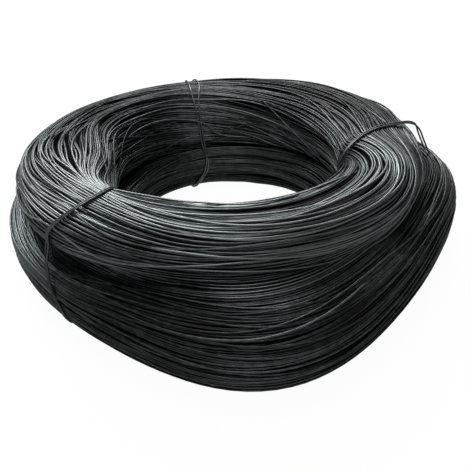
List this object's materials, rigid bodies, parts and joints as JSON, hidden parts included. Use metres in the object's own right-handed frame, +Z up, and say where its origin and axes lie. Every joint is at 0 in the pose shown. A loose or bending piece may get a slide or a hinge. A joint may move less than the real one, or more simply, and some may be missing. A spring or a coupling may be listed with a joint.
{
  "type": "coil of black annealed wire",
  "caption": "Tied coil of black annealed steel wire, wound in two stacked lobes round an open bore and held by doubled wire ties with twisted ends.",
  "frame": {"origin": "on the ground under the middle of the coil's outline, to the front and right of the bore's axis, because the lower lobe has slumped", "axes": "+Z up along the bore, -Y to the front of the picture, +X to its right"},
  "size_m": [0.4052, 0.3936, 0.1149],
  "materials": {
    "oxide_wire": "black annealing oxide, dark grey, slightly glossy, with a little pale dust",
    "tie_wire": "black annealing oxide, rubbed a little lighter by handling"
  },
  "bodies": {
    "root": {"wire_coil": "oxide_wire", "tie_left": "tie_wire", "tie_right": "tie_wire", "tie_back": "tie_wire"}
  },
  "joints": []
}
